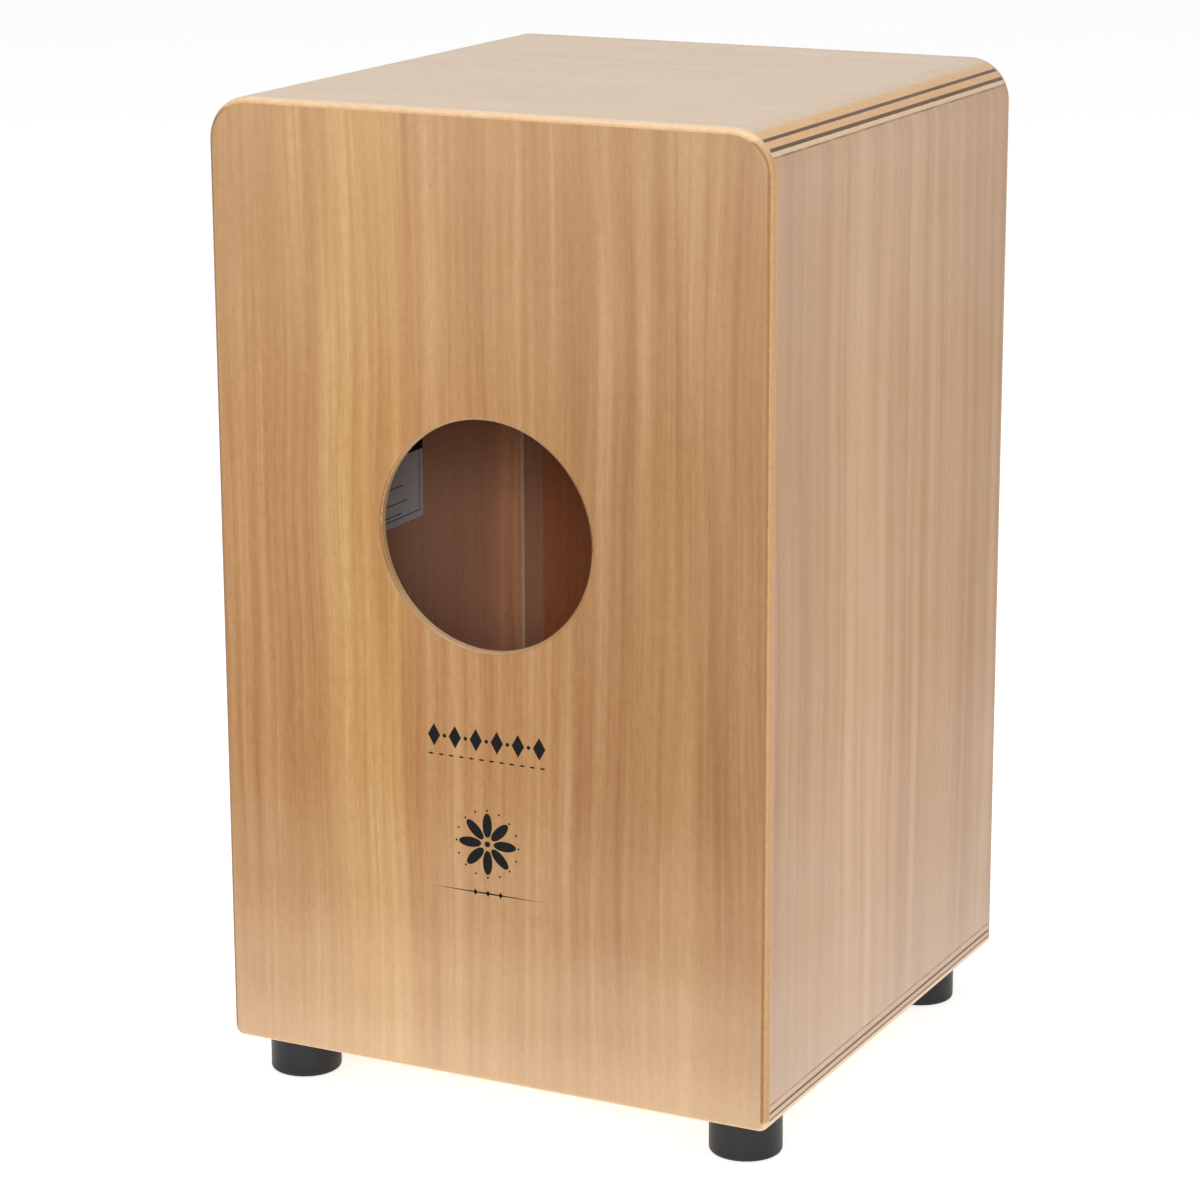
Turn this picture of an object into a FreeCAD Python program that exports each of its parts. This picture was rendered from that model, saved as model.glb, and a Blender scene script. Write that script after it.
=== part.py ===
"""Cajon: a plywood box drum with a soundhole, four feet and tunable snare strings.

Millimetres, +Z up. The origin is on the floor, under the middle of the box.
The thin playing plate (the front) faces -Y and the soundhole (the rear) faces +Y.
The player sits on the top and strikes the front, so +X is the right-hand side seen from the front.
"""
import FreeCAD, Part
import math
import os

Vector = FreeCAD.Vector
X_AXIS = Vector(1, 0, 0)
Y_AXIS = Vector(0, 1, 0)
Z_AXIS = Vector(0, 0, 1)

# ---- Driving dimensions -------------------------------------------------------------------------

# Box
BOX_WIDTH = 300.0
BOX_DEPTH = 300.0
BOX_HEIGHT = 484.0
PLY = 13.0                    # top, bottom and side boards
REAR_PLY = 5.0
FRONT_PLY = 3.5
TOP_CORNER_R = 21.5           # both long edges of the seat
BOTTOM_CORNER_R = 5.0         # both long edges underneath
REAR_ROUNDOVER = 4.5
FRONT_ROUNDOVER = 2.0

# Soundhole
HOLE_R = 57.2
HOLE_HEIGHT = 280.0           # its centre above the box's underside
HOLE_ROUNDOVER = 2.0

# Feet
FOOT_R = 18.2
FOOT_HEIGHT = 23.2
FOOT_EDGE_R = 2.0
FRONT_FOOT_X = 122.0          # the front pair stands a little further in
FRONT_FOOT_Y = -117.0
REAR_FOOT_X = 125.5
REAR_FOOT_Y = 118.5
FOOT_POCKET_R = 7.5
FOOT_POCKET_DEPTH = 14.0
FOOT_BORE_R = 2.2
WASHER_R = 7.0
WASHER_T = 1.5

# Battens behind the front plate
BATTEN_T = 14.0               # across the wall it is glued to
BATTEN_DEPTH = 23.0           # front to back
BATTEN_EDGE = 1.0             # eased edge

# Wood screws
SCREW_R = 1.75
SCREW_HEAD_R = 3.5
SCREW_HEAD_H = 2.2
SCREW_LENGTH = 16.0
SCREW_POINT = 3.0
SCREW_INSET = 20.0            # from the front plate's edges
SIDE_SCREWS = 7               # down each side of the front plate
BATTEN_SCREWS_X = (-65.0, 0.0, 65.0)
WOOD_CLEARANCE = 0.02
CROSS_WIDTH = 0.9
CROSS_SPAN = 3.6
CROSS_DEPTH = 1.4

FOOT_SCREW_R = 2.0
FOOT_SCREW_HEAD_R = 4.2
FOOT_SCREW_HEAD_H = 3.0
FOOT_SCREW_LENGTH = 22.0

BLOCK_SCREWS_X = (-52.0, 0.0, 52.0)
BLOCK_SCREW_Y = -127.0
BLOCK_SCREW_LENGTH = 30.0

# Tuning block and the bolts that pull the strings
BLOCK_WIDTH = 120.0
BLOCK_DEPTH = 26.0
BLOCK_HEIGHT = 40.0
BOLT_X = 30.0
BOLT_Y = -137.5
BOLT_R = 3.0                  # M6, 1 mm pitch
BOLT_LENGTH = 50.0
BOLT_HEAD_R = 5.0
BOLT_HEAD_H = 6.0
HEX_ACROSS_FLATS = 5.0
HEX_DEPTH = 3.0
BORE_R = 3.05
COUNTERBORE_R = 9.0
COUNTERBORE_DEPTH = 8.0
SLEEVE_R = 5.0
FLANGE_R = 7.5
FLANGE_T = 1.5
BEARING_GAP = 0.1             # bolt head to flange

CARRIAGE_WIDTH = 26.0
CARRIAGE_DEPTH = 15.0
CARRIAGE_HEIGHT = 12.0
CARRIAGE_LIFT = 19.0          # its underside above the bottom panel, at playing tension
SLIDE_GAP = 0.3
FRONT_GAP = 0.4               # carriage to front plate
STRING_SLOT = 1.6

# Snare strings
STRING_R = 0.45
BALL_R = 1.9
BALL_HEIGHT = 3.6
STRING_PAIR_HALF = 7.0        # each string's offset from the middle of its pair
STRING_TOP_X = 78.0           # middle of a pair under the top batten
STRING_PLATE_GAP = 0.1
STRING_BATTEN_GAP = 0.35
HITCH_DROP = 6.0              # hitch screws below the top panel's underside
HITCH_DEPTH = 12.0
HITCH_NECK = 2.4
HITCH_HEAD_H = 2.2
LOOP_TUBE_R = 0.5             # the loop round a hitch screw, where the end is twisted back

# Paper label inside the right wall
LABEL_FRONT_Y = -34.0
LABEL_LENGTH = 86.0
LABEL_LIFT = 237.0            # its lower edge above the box's underside
LABEL_HEIGHT = 54.0
LABEL_T = 0.3

# ---- Derived places -----------------------------------------------------------------------------

HALF_W = BOX_WIDTH / 2
HALF_D = BOX_DEPTH / 2
BOX_BOTTOM = FOOT_HEIGHT
BOX_TOP = FOOT_HEIGHT + BOX_HEIGHT
SHELL_FRONT = -HALF_D + FRONT_PLY
SHELL_REAR = HALF_D - REAR_PLY
INSIDE_X = HALF_W - PLY
INSIDE_BOTTOM = BOX_BOTTOM + PLY
INSIDE_TOP = BOX_TOP - PLY
BATTEN_REAR = SHELL_FRONT + BATTEN_DEPTH
HOLE_Z = BOX_BOTTOM + HOLE_HEIGHT
LABEL_BOTTOM = BOX_BOTTOM + LABEL_LIFT
FLANGE_BOTTOM = BOX_BOTTOM + COUNTERBORE_DEPTH - FLANGE_T
BOLT_SEAT = FLANGE_BOTTOM - BEARING_GAP
CARRIAGE_FRONT = SHELL_FRONT + FRONT_GAP
CARRIAGE_Z = INSIDE_BOTTOM + CARRIAGE_LIFT
STRING_BALL_Y = SHELL_FRONT + SLIDE_GAP + BALL_R
BALL_TOP = CARRIAGE_Z - BEARING_GAP
STRING_FRONT_Y = SHELL_FRONT + STRING_PLATE_GAP + STRING_R
STRING_REAR_Y = BATTEN_REAR + HITCH_NECK / 2
HITCH_Z = INSIDE_TOP - HITCH_DROP
STRING_KNEE_Z = INSIDE_TOP - BATTEN_T - STRING_BATTEN_GAP - STRING_R
HITCH_LOOP_R = SCREW_R + LOOP_TUBE_R + BEARING_GAP
SIDES = {"left": -1, "right": 1}
FOOT_ROWS = {"front": (FRONT_FOOT_X, FRONT_FOOT_Y), "rear": (REAR_FOOT_X, REAR_FOOT_Y)}


# ---- Helpers ------------------------------------------------------------------------------------

def block(low, high):
    """A box from its lowest corner to its highest."""
    size = Vector(*high) - Vector(*low)
    return Part.makeBox(size.x, size.y, size.z, Vector(*low))


def rod(radius, length, start, direction=Z_AXIS):
    return Part.makeCylinder(radius, length, Vector(*start), direction)


def fuse_all(shapes):
    joined = shapes[0].multiFuse(shapes[1:])
    return joined.removeSplitter()


def fillet_where(shape, radius, chosen):
    """Round the edges whose midpoint passes the test `chosen`."""
    edges = [edge for edge in shape.Edges if chosen(edge.CenterOfMass, edge)]
    return shape.makeFillet(radius, edges)


def runs_along(edge, axis):
    if not isinstance(edge.Curve, Part.Line):
        return False
    return abs(abs(edge.Curve.Direction.dot(axis)) - 1) < 1e-6


def save(name, *solids):
    """Write one sub-part, a single solid or a group of separate like solids."""
    shape = solids[0] if len(solids) == 1 else Part.makeCompound(list(solids))
    for solid in shape.Solids:
        if not solid.isValid():
            raise ValueError(name + " is not a valid solid")
    shape.exportStep(os.path.join("parts", name + ".step"))
    print(name, len(shape.Solids), round(shape.Volume, 1))


# ---- Wood screws --------------------------------------------------------------------------------

def cross_recess(origin, direction):
    """The two crossed slots of a cross-head screw, cut inwards from `origin`."""
    across = X_AXIS.cross(direction)
    slots = []
    for long_way, short_way in ((X_AXIS, across), (across, X_AXIS)):
        corner = origin - long_way * (CROSS_SPAN / 2) - short_way * (CROSS_WIDTH / 2)
        wire = Part.makePolygon([
            corner,
            corner + long_way * CROSS_SPAN,
            corner + long_way * CROSS_SPAN + short_way * CROSS_WIDTH,
            corner + short_way * CROSS_WIDTH,
            corner,
        ])
        slots.append(Part.Face(wire).extrude(direction * CROSS_DEPTH))
    return fuse_all(slots)


def shank(start, direction, radius, length):
    """A plain shank that ends in a point."""
    straight = Part.makeCylinder(radius, length - SCREW_POINT, start, direction)
    tip_start = start + direction * (length - SCREW_POINT)
    tip = Part.makeCone(radius, radius / 5, SCREW_POINT, tip_start, direction)
    return [straight, tip]


def countersunk_screw(origin, direction, length):
    """`origin` is the middle of the flush head, and the screw points along `direction`."""
    head = Part.makeCone(SCREW_HEAD_R, SCREW_R, SCREW_HEAD_H, origin, direction)
    body = shank(origin + direction * SCREW_HEAD_H, direction, SCREW_R, length - SCREW_HEAD_H)
    return fuse_all([head] + body).cut(cross_recess(origin, direction))


def pan_screw(seat, direction, radius, head_r, head_h, length):
    """`seat` is the middle of the flat under the head."""
    head = Part.makeCylinder(head_r, head_h, seat - direction * head_h, direction)
    crown = [edge for edge in head.Edges
             if (edge.CenterOfMass - (seat - direction * head_h)).Length < 1e-6]
    head = head.makeFillet(head_h * 0.6, crown)
    screw = fuse_all([head] + shank(seat, direction, radius, length))
    return screw.cut(cross_recess(seat - direction * head_h, direction))


def countersunk_hole(origin, direction, length):
    """The space that a countersunk screw fills in the wood around it."""
    head = Part.makeCone(SCREW_HEAD_R + WOOD_CLEARANCE, SCREW_R + WOOD_CLEARANCE, SCREW_HEAD_H,
                         origin, direction)
    pilot = Part.makeCylinder(SCREW_R + WOOD_CLEARANCE, length, origin, direction)
    return fuse_all([head, pilot])


def front_screw_places():
    """Where the screws around the front plate go, on its face."""
    low = BOX_BOTTOM + SCREW_INSET
    high = BOX_TOP - SCREW_INSET
    step = (high - low) / (SIDE_SCREWS - 1)
    places = []
    for side in SIDES.values():
        for row in range(SIDE_SCREWS):
            places.append(Vector(side * (HALF_W - SCREW_INSET), -HALF_D, low + row * step))
    for x in BATTEN_SCREWS_X:
        places.append(Vector(x, -HALF_D, low))
        places.append(Vector(x, -HALF_D, high))
    return places


FRONT_HOLES = Part.makeCompound(
    [countersunk_hole(place, Y_AXIS, SCREW_LENGTH) for place in front_screw_places()])


# ---- Box ----------------------------------------------------------------------------------------

def outline_block(front, rear):
    """The box's outline, rounded along its four long edges, between two Y planes."""
    blank = block((-HALF_W, front, BOX_BOTTOM), (HALF_W, rear, BOX_TOP))
    blank = fillet_where(blank, TOP_CORNER_R,
                         lambda mid, edge: runs_along(edge, Y_AXIS) and mid.z > BOX_TOP - 1)
    return fillet_where(blank, BOTTOM_CORNER_R,
                        lambda mid, edge: runs_along(edge, Y_AXIS) and mid.z < BOX_BOTTOM + 1)


def foot_places():
    for row, (x, y) in FOOT_ROWS.items():
        for side, sign in SIDES.items():
            yield f"{row}_{side}_foot", sign * x, y


def make_top_panel():
    shell = outline_block(SHELL_FRONT, SHELL_REAR)
    return shell.common(block((-HALF_W, SHELL_FRONT, INSIDE_TOP), (HALF_W, SHELL_REAR, BOX_TOP)))


def make_side_panel(side):
    shell = outline_block(SHELL_FRONT, SHELL_REAR)
    inner = side * INSIDE_X
    outer = side * HALF_W
    return shell.common(block((min(inner, outer), SHELL_FRONT, INSIDE_BOTTOM),
                              (max(inner, outer), SHELL_REAR, INSIDE_TOP)))


def make_bottom_panel():
    shell = outline_block(SHELL_FRONT, SHELL_REAR)
    panel = shell.common(block((-HALF_W, SHELL_FRONT, BOX_BOTTOM), (HALF_W, SHELL_REAR, INSIDE_BOTTOM)))
    cuts = []
    for _, x, y in foot_places():
        cuts.append(rod(FOOT_SCREW_R + WOOD_CLEARANCE, PLY, (x, y, BOX_BOTTOM)))
    for side in SIDES.values():
        at = (side * BOLT_X, BOLT_Y, BOX_BOTTOM)
        cuts.append(rod(COUNTERBORE_R, COUNTERBORE_DEPTH, at))
        cuts.append(rod(SLEEVE_R + WOOD_CLEARANCE, PLY, at))
    for x in BLOCK_SCREWS_X:
        cuts.append(countersunk_hole(Vector(x, BLOCK_SCREW_Y, BOX_BOTTOM), Z_AXIS, PLY))
    return panel.cut(cuts)


def make_rear_panel():
    panel = outline_block(SHELL_REAR, HALF_D)
    panel = fillet_where(panel, REAR_ROUNDOVER, lambda mid, edge: mid.y > HALF_D - 1e-6)
    hole = rod(HOLE_R, REAR_PLY, (0, SHELL_REAR, HOLE_Z), Y_AXIS)
    panel = panel.cut(hole)
    return fillet_where(panel, HOLE_ROUNDOVER,
                        lambda mid, edge: mid.y > HALF_D - 1e-6
                        and isinstance(edge.Curve, Part.Circle)
                        and abs(edge.Curve.Radius - HOLE_R) < 1e-6)


def make_front_plate():
    plate = outline_block(-HALF_D, SHELL_FRONT)
    plate = fillet_where(plate, FRONT_ROUNDOVER, lambda mid, edge: mid.y < -HALF_D + 1e-6)
    return plate.cut(FRONT_HOLES)


# ---- Battens ------------------------------------------------------------------------------------

def make_side_batten(side):
    """Upright in a front corner, from the bottom panel to the top panel."""
    wall = side * INSIDE_X
    free = side * (INSIDE_X - BATTEN_T)
    batten = block((min(wall, free), SHELL_FRONT, INSIDE_BOTTOM),
                   (max(wall, free), BATTEN_REAR, INSIDE_TOP))
    batten = fillet_where(batten, BATTEN_EDGE,
                          lambda mid, edge: runs_along(edge, Z_AXIS)
                          and mid.y > BATTEN_REAR - 1 and abs(mid.x - free) < 1)
    return batten.cut(FRONT_HOLES)


def make_top_batten():
    reach = INSIDE_X - BATTEN_T
    batten = block((-reach, SHELL_FRONT, INSIDE_TOP - BATTEN_T), (reach, BATTEN_REAR, INSIDE_TOP))
    hitches = [rod(SCREW_R + WOOD_CLEARANCE, HITCH_DEPTH, (x, BATTEN_REAR, HITCH_Z), -Y_AXIS)
               for x in hitch_places()]
    return batten.cut(FRONT_HOLES).cut(hitches)


def make_bottom_batten(side):
    """Short length between the tuning block and the upright batten."""
    near = side * BLOCK_WIDTH / 2
    far = side * (INSIDE_X - BATTEN_T)
    batten = block((min(near, far), SHELL_FRONT, INSIDE_BOTTOM),
                   (max(near, far), BATTEN_REAR, INSIDE_BOTTOM + BATTEN_T))
    return batten.cut(FRONT_HOLES)


# ---- Tuning gear --------------------------------------------------------------------------------

def make_tuning_block():
    """Hardwood block with an upright channel for each carriage, open towards the front plate."""
    body = block((-BLOCK_WIDTH / 2, SHELL_FRONT, INSIDE_BOTTOM),
                 (BLOCK_WIDTH / 2, SHELL_FRONT + BLOCK_DEPTH, INSIDE_BOTTOM + BLOCK_HEIGHT))
    half = CARRIAGE_WIDTH / 2 + SLIDE_GAP
    back = CARRIAGE_FRONT + CARRIAGE_DEPTH + SLIDE_GAP
    cuts = []
    for side in SIDES.values():
        cuts.append(block((side * BOLT_X - half, SHELL_FRONT, INSIDE_BOTTOM),
                          (side * BOLT_X + half, back, INSIDE_BOTTOM + BLOCK_HEIGHT)))
    for x in BLOCK_SCREWS_X:
        cuts.append(rod(SCREW_R + WOOD_CLEARANCE, BLOCK_SCREW_LENGTH - PLY,
                        (x, BLOCK_SCREW_Y, INSIDE_BOTTOM)))
    return body.cut(cuts).cut(FRONT_HOLES)


def make_bushing(side):
    """Flanged sleeve in the bottom panel that the tuning bolt turns in."""
    at = (side * BOLT_X, BOLT_Y, FLANGE_BOTTOM)
    flange = rod(FLANGE_R, FLANGE_T, at)
    sleeve = rod(SLEEVE_R, INSIDE_BOTTOM - FLANGE_BOTTOM, at)
    return fuse_all([flange, sleeve]).cut(rod(BORE_R, PLY, at))


def make_tuning_bolt(side):
    """Socket-head bolt, head down, recessed in the bottom panel."""
    x = side * BOLT_X
    head = rod(BOLT_HEAD_R, BOLT_HEAD_H, (x, BOLT_Y, BOLT_SEAT - BOLT_HEAD_H))
    head = fillet_where(head, 0.6, lambda mid, edge: mid.z < BOLT_SEAT - BOLT_HEAD_H + 1e-6)
    stem = rod(BOLT_R, BOLT_LENGTH, (x, BOLT_Y, BOLT_SEAT))
    corner_r = HEX_ACROSS_FLATS / 2 / math.cos(math.pi / 6)
    low = BOLT_SEAT - BOLT_HEAD_H
    corners = [Vector(x + corner_r * math.cos(math.pi / 3 * i),
                      BOLT_Y + corner_r * math.sin(math.pi / 3 * i), low) for i in range(7)]
    socket = Part.Face(Part.makePolygon(corners)).extrude(Z_AXIS * HEX_DEPTH)
    return fuse_all([head, stem]).cut(socket)


def string_ends(side, offset):
    """X of a string at its ball end and under the top batten."""
    low = side * BOLT_X + offset
    high = side * STRING_TOP_X + offset
    return low, high


def string_lean(side):
    return side * (STRING_TOP_X - BOLT_X) / (STRING_KNEE_Z - BALL_TOP)


def make_carriage(side):
    """Brass block, threaded on the bolt, with a slanted slot for each string of the pair."""
    x = side * BOLT_X
    body = block((x - CARRIAGE_WIDTH / 2, CARRIAGE_FRONT, CARRIAGE_Z),
                 (x + CARRIAGE_WIDTH / 2, CARRIAGE_FRONT + CARRIAGE_DEPTH,
                  CARRIAGE_Z + CARRIAGE_HEIGHT))
    body = fillet_where(body, 1.0, lambda mid, edge: runs_along(edge, Z_AXIS))
    cuts = [rod(BORE_R, CARRIAGE_HEIGHT, (x, BOLT_Y, CARRIAGE_Z))]
    for offset in (-STRING_PAIR_HALF, STRING_PAIR_HALF):
        low, _ = string_ends(side, offset)
        slot = block((low - STRING_SLOT / 2, SHELL_FRONT, CARRIAGE_Z - CARRIAGE_HEIGHT),
                     (low + STRING_SLOT / 2, STRING_BALL_Y + STRING_SLOT / 2,
                      CARRIAGE_Z + 2 * CARRIAGE_HEIGHT))
        slot.rotate(Vector(low, 0, BALL_TOP), Y_AXIS, math.degrees(math.atan(string_lean(side))))
        cuts.append(slot)
    return body.cut(cuts)


# ---- Strings ------------------------------------------------------------------------------------

def pair_offsets(side):
    """Offset of the outer and the inner string from the middle of their pair."""
    return {"outer": side * STRING_PAIR_HALF, "inner": -side * STRING_PAIR_HALF}


def hitch_places():
    """X of each hitch screw: the string's loop is tangent to its upright run."""
    for side in SIDES.values():
        for offset in pair_offsets(side).values():
            _, high = string_ends(side, offset)
            yield high + HITCH_LOOP_R


def make_hitch_screw(x):
    seat = Vector(x, BATTEN_REAR + HITCH_NECK, HITCH_Z)
    return pan_screw(seat, -Y_AXIS, SCREW_R, SCREW_HEAD_R, HITCH_HEAD_H, HITCH_DEPTH + HITCH_NECK)


def make_string(side, offset):
    """Ball end under the carriage, up the plate, under the batten and round the hitch screw."""
    low, high = string_ends(side, offset)
    knees = [
        Vector(low, STRING_BALL_Y, BALL_TOP - BALL_HEIGHT / 2),
        Vector(high, STRING_FRONT_Y, STRING_KNEE_Z),
        Vector(high, STRING_REAR_Y, STRING_KNEE_Z),
        Vector(high, STRING_REAR_Y, HITCH_Z),
    ]
    solids = [rod(BALL_R, BALL_HEIGHT, (low, STRING_BALL_Y, BALL_TOP - BALL_HEIGHT))]
    for start, end in zip(knees, knees[1:]):
        run = end - start
        solids.append(Part.makeCylinder(STRING_R, run.Length, start, run))
    for knee in knees[1:3]:
        solids.append(Part.makeSphere(STRING_R, knee))
    loop_centre = Vector(high + HITCH_LOOP_R, STRING_REAR_Y, HITCH_Z)
    solids.append(Part.makeTorus(HITCH_LOOP_R, LOOP_TUBE_R, loop_centre, Y_AXIS))
    return fuse_all(solids)


# ---- Feet and label -----------------------------------------------------------------------------

def make_foot(x, y):
    """Rubber cylinder with a pocket for its screw and washer."""
    foot = rod(FOOT_R, FOOT_HEIGHT, (x, y, 0))
    foot = fillet_where(foot, FOOT_EDGE_R, lambda mid, edge: mid.z < 1e-6)
    pocket = rod(FOOT_POCKET_R, FOOT_POCKET_DEPTH, (x, y, 0))
    return foot.cut([pocket, rod(FOOT_BORE_R, FOOT_HEIGHT, (x, y, 0))])


def make_washer(x, y):
    at = (x, y, FOOT_POCKET_DEPTH - WASHER_T)
    return rod(WASHER_R, WASHER_T, at).cut(rod(FOOT_BORE_R, WASHER_T, at))


def make_foot_screw(x, y):
    seat = Vector(x, y, FOOT_POCKET_DEPTH - WASHER_T)
    return pan_screw(seat, Z_AXIS, FOOT_SCREW_R, FOOT_SCREW_HEAD_R, FOOT_SCREW_HEAD_H,
                     FOOT_SCREW_LENGTH)


def make_label():
    return block((INSIDE_X - LABEL_T, LABEL_FRONT_Y, LABEL_BOTTOM),
                 (INSIDE_X, LABEL_FRONT_Y + LABEL_LENGTH, LABEL_BOTTOM + LABEL_HEIGHT))


# ---- Assembly -----------------------------------------------------------------------------------

os.makedirs("parts", exist_ok=True)

save("top_panel", make_top_panel())
save("bottom_panel", make_bottom_panel())
save("rear_panel", make_rear_panel())
save("front_plate", make_front_plate())
save("top_batten", make_top_batten())
save("tuning_block", make_tuning_block())
save("inner_label", make_label())

for name, sign in SIDES.items():
    save(name + "_side_panel", make_side_panel(sign))
    save(name + "_side_batten", make_side_batten(sign))
    save(name + "_bottom_batten", make_bottom_batten(sign))
    save(name + "_string_carriage", make_carriage(sign))
    save(name + "_tuning_bolt", make_tuning_bolt(sign))
    for which, pair_offset in pair_offsets(sign).items():
        save(f"{name}_{which}_string", make_string(sign, pair_offset))

for foot_name, foot_x, foot_y in foot_places():
    save(foot_name, make_foot(foot_x, foot_y))

save("foot_washers", *[make_washer(x, y) for _, x, y in foot_places()])
save("foot_screws", *[make_foot_screw(x, y) for _, x, y in foot_places()])
save("tuning_bolt_bushings", *[make_bushing(sign) for sign in SIDES.values()])
save("string_hitch_screws", *[make_hitch_screw(x) for x in hitch_places()])
save("front_plate_screws",
     *[countersunk_screw(place, Y_AXIS, SCREW_LENGTH) for place in front_screw_places()])
save("tuning_block_screws",
     *[countersunk_screw(Vector(x, BLOCK_SCREW_Y, BOX_BOTTOM), Z_AXIS, BLOCK_SCREW_LENGTH)
       for x in BLOCK_SCREWS_X])
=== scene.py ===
import bmesh
import bpy
from math import cos, pi, radians, sin
from mathutils import Matrix, Vector


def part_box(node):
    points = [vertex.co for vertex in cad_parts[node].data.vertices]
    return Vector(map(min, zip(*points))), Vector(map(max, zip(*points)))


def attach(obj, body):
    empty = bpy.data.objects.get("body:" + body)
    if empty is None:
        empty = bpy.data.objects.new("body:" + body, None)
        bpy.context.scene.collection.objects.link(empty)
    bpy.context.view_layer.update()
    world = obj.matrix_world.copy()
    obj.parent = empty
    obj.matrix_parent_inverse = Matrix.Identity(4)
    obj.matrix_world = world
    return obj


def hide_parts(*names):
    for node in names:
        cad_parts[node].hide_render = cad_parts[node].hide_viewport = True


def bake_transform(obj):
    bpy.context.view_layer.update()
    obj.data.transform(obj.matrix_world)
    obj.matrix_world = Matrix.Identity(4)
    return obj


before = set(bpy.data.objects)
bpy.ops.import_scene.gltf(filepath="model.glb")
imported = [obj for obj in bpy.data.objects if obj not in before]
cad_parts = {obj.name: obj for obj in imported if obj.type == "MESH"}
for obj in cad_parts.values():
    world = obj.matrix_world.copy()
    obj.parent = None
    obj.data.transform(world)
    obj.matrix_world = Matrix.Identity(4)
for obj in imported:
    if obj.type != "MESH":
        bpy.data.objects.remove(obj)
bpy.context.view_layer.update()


# ---- Side panels --------------------------------------------------------------------------------
# Two upright boards of 13 mm plywood, faced with ribbon-striped veneer whose grain runs up the box.
# They stand on the bottom panel, are glued under the top panel and are lacquered satin.

MM = 0.001
SHELL_PLY = 13 * MM
side_low, side_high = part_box("right_side_panel")
box_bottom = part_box("bottom_panel")[0].z
box_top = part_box("top_panel")[1].z
half_width = side_high.x
inside_top = side_high.z
inside_bottom = side_low.z


def shade(red, green, blue):
    """The linear colour, for a node, of a finish given in 0-255 display values."""
    return tuple(((c / 255 + 0.055) / 1.055) ** 2.4 for c in (red, green, blue)) + (1.0,)


def put(tree, kind, inputs=None, **settings):
    """Adds a node with its settings. Each input is a value, or a socket to link."""
    node = tree.nodes.new(kind)
    for name, value in settings.items():
        setattr(node, name, value)
    for name, value in (inputs or {}).items():
        if isinstance(value, bpy.types.NodeSocket):
            tree.links.new(value, node.inputs[name])
        else:
            node.inputs[name].default_value = value
    return node


def maths(tree, operation, *values):
    return put(tree, "ShaderNodeMath", dict(enumerate(values)), operation=operation).outputs[0]


def ranged(tree, value, low, high, out_low=0.0, out_high=1.0):
    """value from low to high becomes out_low to out_high, held at both ends."""
    inputs = {0: value, 1: low, 2: high, 3: out_low, 4: out_high}
    return put(tree, "ShaderNodeMapRange", inputs).outputs[0]


def mixed(tree, amount, first, second, how="MIX"):
    inputs = {0: amount, 6: first, 7: second}
    return put(tree, "ShaderNodeMix", inputs, data_type="RGBA", blend_type=how).outputs[2]


def ramp(tree, amount, stops, interpolation="LINEAR"):
    """Colours along a ramp, from (place, colour) stops."""
    node = put(tree, "ShaderNodeValToRGB", {"Fac": amount})
    elements = node.color_ramp.elements
    node.color_ramp.interpolation = interpolation
    elements.remove(elements[1])
    elements[0].position, elements[0].color = stops[0]
    for place, tint in stops[1:]:
        elements.new(place).color = tint
    return node.outputs[0]


def noise(tree, place, stretch, detail=3.0, roughness=0.55):
    """Soft noise whose grains are one unit across after place is multiplied by stretch."""
    scaled = put(tree, "ShaderNodeVectorMath", {0: place, 1: stretch}, operation="MULTIPLY")
    inputs = {"Vector": scaled.outputs[0], "Scale": 1.0, "Detail": detail, "Roughness": roughness}
    return put(tree, "ShaderNodeTexNoise", inputs).outputs[0]


def start_group(name, inputs, outputs):
    """A node group with its sockets, given as {name: (kind, value)} and {name: kind}."""
    group = bpy.data.node_groups.new(name, "ShaderNodeTree")
    for label, (kind, value) in inputs.items():
        group.interface.new_socket(label, in_out="INPUT", socket_type=kind).default_value = value
    for label, kind in outputs.items():
        group.interface.new_socket(label, in_out="OUTPUT", socket_type=kind)
    return group, put(group, "NodeGroupInput").outputs, put(group, "NodeGroupOutput")


FLOAT, VECTOR = "NodeSocketFloat", "NodeSocketVector"

# Ribbon-striped veneer: stripes where the grain leans in turn each way, fine lines, and open pores.
# Place has Z along the grain and X across it.
ribbon_figure, given, result = start_group(
    "ribbon_figure",
    {"Place": (VECTOR, (0, 0, 0)), "Stripe Width": (FLOAT, 0.01), "Seed": (FLOAT, 0.0),
     "Fleck": (FLOAT, 0.12)},
    {"Figure": FLOAT, "Pores": FLOAT, "Height": FLOAT})
shifted = put(ribbon_figure, "ShaderNodeVectorMath",
              {0: given["Place"], 1: given["Seed"]}, operation="ADD").outputs[0]
drift = noise(ribbon_figure, shifted, (9, 9, 5), detail=1.0)
drift = maths(ribbon_figure, "MULTIPLY", drift, 0.012)
drift = put(ribbon_figure, "ShaderNodeCombineXYZ", {"X": drift}).outputs[0]
wavering = put(ribbon_figure, "ShaderNodeVectorMath", {0: shifted, 1: drift},
               operation="ADD").outputs[0]
in_stripes = put(ribbon_figure, "ShaderNodeVectorMath",
                 {0: wavering, "Scale": maths(ribbon_figure, "DIVIDE", 1.0, given["Stripe Width"])},
                 operation="SCALE").outputs[0]
ribbons = noise(ribbon_figure, in_stripes, (1, 1, 0.03), detail=1.0)
stripes = noise(ribbon_figure, in_stripes, (2.6, 2.6, 0.05), detail=1.0)
lines = noise(ribbon_figure, in_stripes, (7.5, 7.5, 0.12), detail=2.0)
mottle = noise(ribbon_figure, shifted, (300, 300, 110), detail=3.0, roughness=0.65)
fibres = noise(ribbon_figure, shifted, (2200, 2200, 90), detail=2.0)
pore_noise = noise(ribbon_figure, shifted, (2000, 2000, 260), detail=1.0)
pores = ranged(ribbon_figure, pore_noise, 0.60, 0.72)
figure = maths(ribbon_figure, "MULTIPLY", ribbons, 0.30)
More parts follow.
